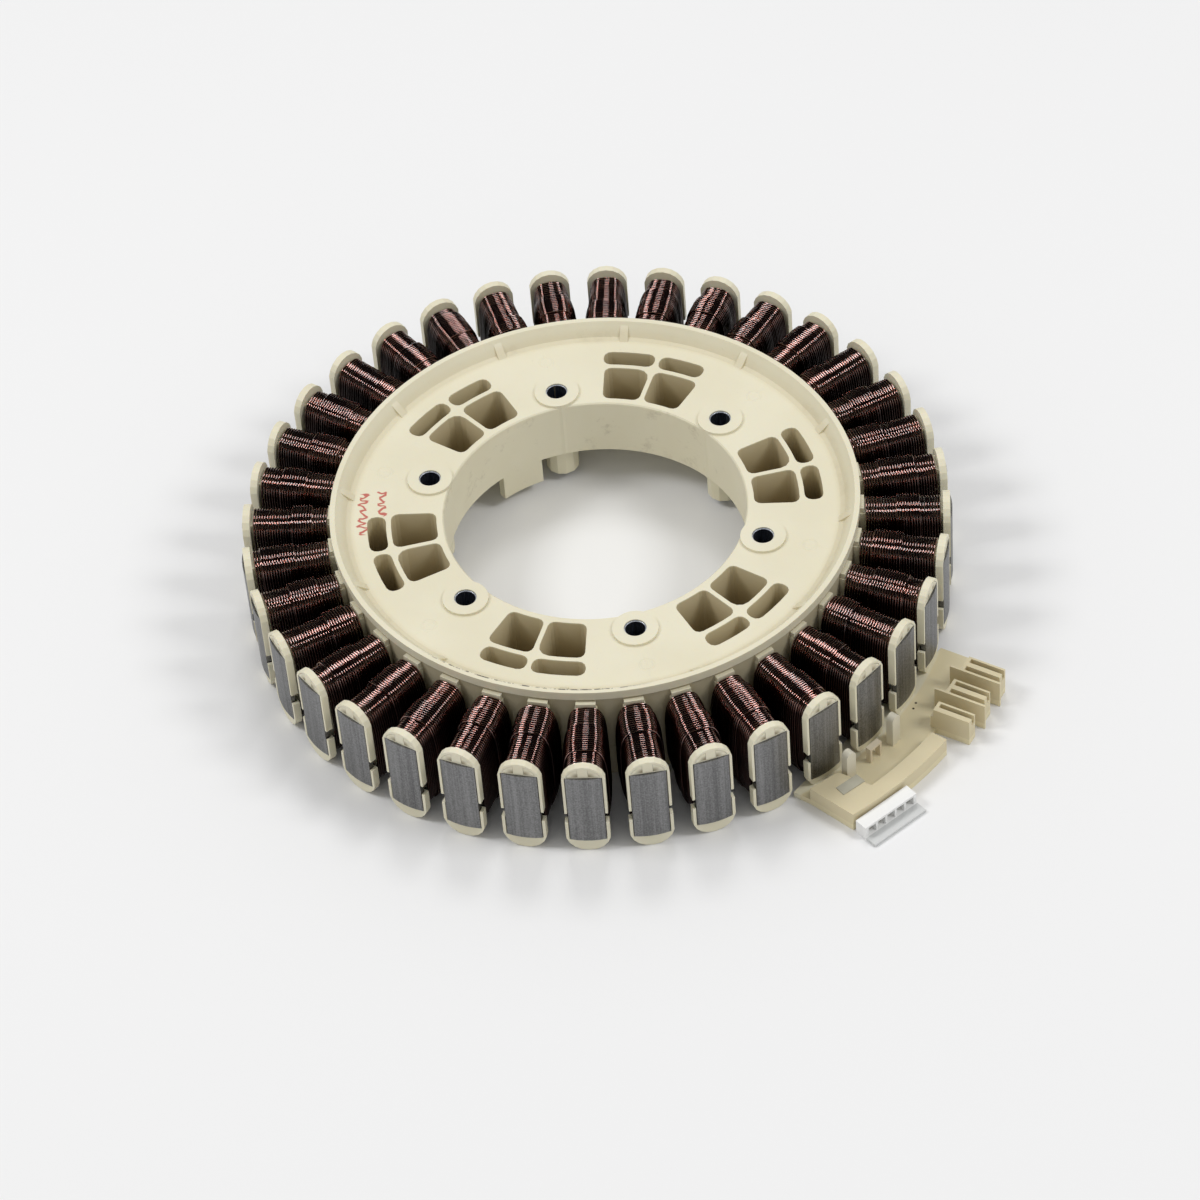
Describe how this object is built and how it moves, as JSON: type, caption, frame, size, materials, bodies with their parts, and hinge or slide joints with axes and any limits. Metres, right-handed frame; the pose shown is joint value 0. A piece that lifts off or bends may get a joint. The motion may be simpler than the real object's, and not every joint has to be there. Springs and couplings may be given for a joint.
{
  "type": "stator",
  "caption": "Wound stator ring for an outer-rotor motor: steel teeth with wire coils round a cream plastic hub, with a connector tray at the side.",
  "frame": {"origin": "on the motor axis, at the centre of the bolt circle on the boss faces, 42.4 mm above the plane that the stator rests on", "axes": "+Z along the motor axis, from the side with the connector tray to the side with the hub face; +X through the tooth at the end of the connector tray, so the tray stands out on the +X side"},
  "size_m": [0.3002, 0.2654, 0.0468],
  "materials": {
    "steel": "bare stacked sheet edges",
    "cream_plastic": "satin moulded",
    "enamelled_wire": "dark glossy enamel",
    "plated_steel": "zinc plated",
    "milky_plastic": "translucent natural",
    "black_epoxy": "matt",
    "white_plastic": "natural white",
    "tinned_contact": "tinned"
  },
  "bodies": {
    "root": {"steel_core": "steel", "upper_insulator": "cream_plastic", "lower_insulator": "cream_plastic", "coil_01": "enamelled_wire", "coil_02": "enamelled_wire", "coil_03": "enamelled_wire", "coil_04": "enamelled_wire", "coil_05": "enamelled_wire", "coil_06": "enamelled_wire", "coil_07": "enamelled_wire", "coil_08": "enamelled_wire", "coil_09": "enamelled_wire", "coil_10": "enamelled_wire", "coil_11": "enamelled_wire", "coil_12": "enamelled_wire", "coil_13": "enamelled_wire", "coil_14": "enamelled_wire", "coil_15": "enamelled_wire", "coil_16": "enamelled_wire", "coil_17": "enamelled_wire", "coil_18": "enamelled_wire", "coil_19": "enamelled_wire", "coil_20": "enamelled_wire", "coil_21": "enamelled_wire", "coil_22": "enamelled_wire", "coil_23": "enamelled_wire", "coil_24": "enamelled_wire", "coil_25": "enamelled_wire", "coil_26": "enamelled_wire", "coil_27": "enamelled_wire", "coil_28": "enamelled_wire", "coil_29": "enamelled_wire", "coil_30": "enamelled_wire", "coil_31": "enamelled_wire", "coil_32": "enamelled_wire", "coil_33": "enamelled_wire", "coil_34": "enamelled_wire", "coil_35": "enamelled_wire", "coil_36": "enamelled_wire", "bolt_bush_1": "plated_steel", "bolt_bush_2": "plated_steel", "bolt_bush_3": "plated_steel", "bolt_bush_4": "plated_steel", "bolt_bush_5": "plated_steel", "bolt_bush_6": "plated_steel", "sensor_post_1": "milky_plastic", "sensor_post_2": "milky_plastic", "hall_sensor_1": "black_epoxy", "hall_sensor_2": "black_epoxy", "connector_header": "white_plastic", "header_contacts": "tinned_contact", "phase_tab_1": "tinned_contact", "phase_tab_2": "tinned_contact", "phase_tab_3": "tinned_contact"}
  },
  "joints": []
}
